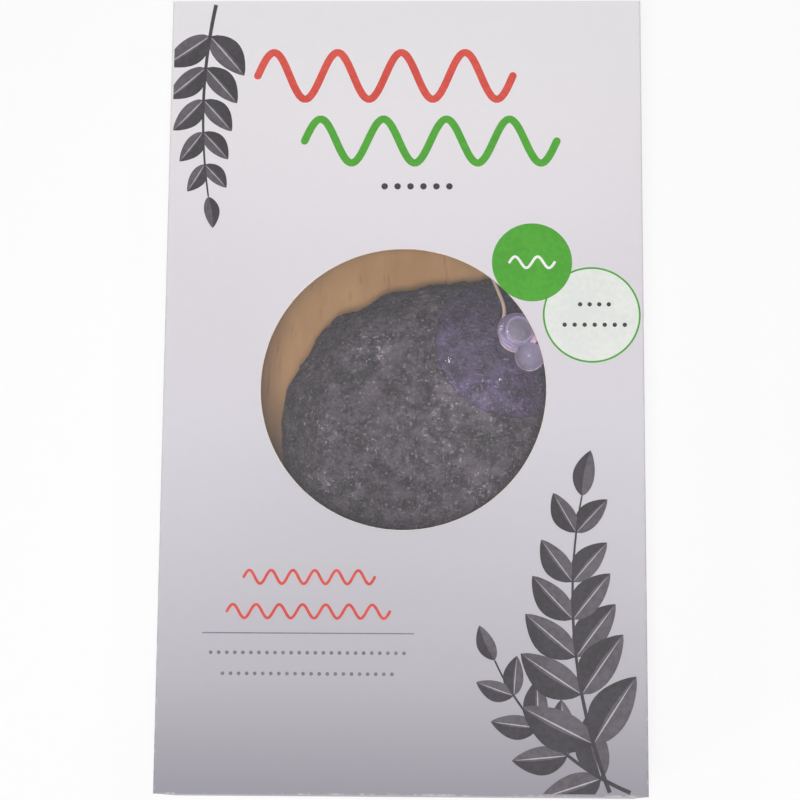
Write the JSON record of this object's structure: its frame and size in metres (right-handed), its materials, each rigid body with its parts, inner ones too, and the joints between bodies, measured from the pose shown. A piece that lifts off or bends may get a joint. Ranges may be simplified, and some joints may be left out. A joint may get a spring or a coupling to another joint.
{
  "type": "boxed face sponge",
  "caption": "Half-ball face sponge with a hanging cord and a clear suction-cup hook, packed in a windowed tuck-end carton.",
  "frame": {"origin": "centre of the back panel's outer face, which the carton lies on", "axes": "+Z out through the window, +Y towards the carton's top end, +X to the right seen from the front"},
  "size_m": [0.108, 0.181, 0.0425],
  "materials": {
    "printed_board": "coated carton board, pale grey print outside, brown kraft inside",
    "carton_glue": "thin dried glue",
    "clear_film": "clear glossy film",
    "charcoal_sponge": "dry fine-pored charcoal sponge",
    "cotton_cord": "twisted undyed cotton",
    "soft_clear_plastic": "soft clear plastic with a violet tint",
    "hard_clear_plastic": "hard clear moulded plastic"
  },
  "bodies": {
    "carton": {"front_panel": "printed_board", "back_panel": "printed_board", "left_side_panel": "printed_board", "right_side_panel": "printed_board", "glue_flap": "printed_board", "seam_glue": "carton_glue", "window_film": "clear_film", "window_glue": "carton_glue"},
    "top_lid": {"top_lid": "printed_board"},
    "top_tuck": {"top_tuck_flap": "printed_board"},
    "top_left_dust": {"top_left_dust_flap": "printed_board"},
    "top_right_dust": {"top_right_dust_flap": "printed_board"},
    "bottom_lid": {"bottom_lid": "printed_board"},
    "bottom_tuck": {"bottom_tuck_flap": "printed_board"},
    "bottom_left_dust": {"bottom_left_dust_flap": "printed_board"},
    "bottom_right_dust": {"bottom_right_dust_flap": "printed_board"},
    "sponge": {"sponge": "charcoal_sponge", "hanging_cord": "cotton_cord", "cord_knot": "cotton_cord"},
    "cup": {"suction_cup": "soft_clear_plastic"},
    "hook": {"suction_hook": "hard_clear_plastic"}
  },
  "joints": [
    {"name": "top_lid_fold", "type": "hinge", "parent": "carton", "child": "top_lid", "pos_m": [0, 0.09, 0.0005], "axis": [-1, 0, 0], "range_deg": [0, 90]},
    {"name": "top_tuck_fold", "type": "hinge", "parent": "top_lid", "child": "top_tuck", "pos_m": [0, 0.09, 0.0412], "axis": [-1, 0, 0], "range_deg": [0, 36]},
    {"name": "top_left_dust_fold", "type": "hinge", "parent": "carton", "child": "top_left_dust", "pos_m": [-0.0535, 0.0892, 0.02], "axis": [0, 0, -1], "range_deg": [0, 80]},
    {"name": "top_right_dust_fold", "type": "hinge", "parent": "carton", "child": "top_right_dust", "pos_m": [0.0535, 0.0892, 0.02], "axis": [0, 0, 1], "range_deg": [0, 80]},
    {"name": "bottom_lid_fold", "type": "hinge", "parent": "carton", "child": "bottom_lid", "pos_m": [0, -0.09, 0.0005], "axis": [1, 0, 0], "range_deg": [0, 90]},
    {"name": "bottom_tuck_fold", "type": "hinge", "parent": "bottom_lid", "child": "bottom_tuck", "pos_m": [0, -0.09, 0.0412], "axis": [1, 0, 0], "range_deg": [0, 36]},
    {"name": "bottom_left_dust_fold", "type": "hinge", "parent": "carton", "child": "bottom_left_dust", "pos_m": [-0.0535, -0.0892, 0.02], "axis": [0, 0, 1], "range_deg": [0, 80]},
    {"name": "bottom_right_dust_fold", "type": "hinge", "parent": "carton", "child": "bottom_right_dust", "pos_m": [0.0535, -0.0892, 0.02], "axis": [0, 0, -1], "range_deg": [0, 80]},
    {"name": "sponge_slide", "type": "slide", "parent": "carton", "child": "sponge", "axis": [0, 1, 0], "range_m": [-0.025, 0.025]},
    {"name": "cup_swivel", "type": "hinge", "parent": "sponge", "child": "cup", "pos_m": [0.0238, 0.0121, 0.02499], "axis": [0.2397, 0.244, 0.9397], "continuous": true},
    {"name": "hook_swivel", "type": "hinge", "parent": "cup", "child": "hook", "pos_m": [0.0238, 0.0121, 0.02499], "axis": [0.2397, 0.244, 0.9397], "continuous": true}
  ],
  "couplings": [
    {"joint": "top_tuck_fold", "follows": "top_lid_fold", "ratio": 0.4},
    {"joint": "bottom_tuck_fold", "follows": "bottom_lid_fold", "ratio": 0.4}
  ]
}
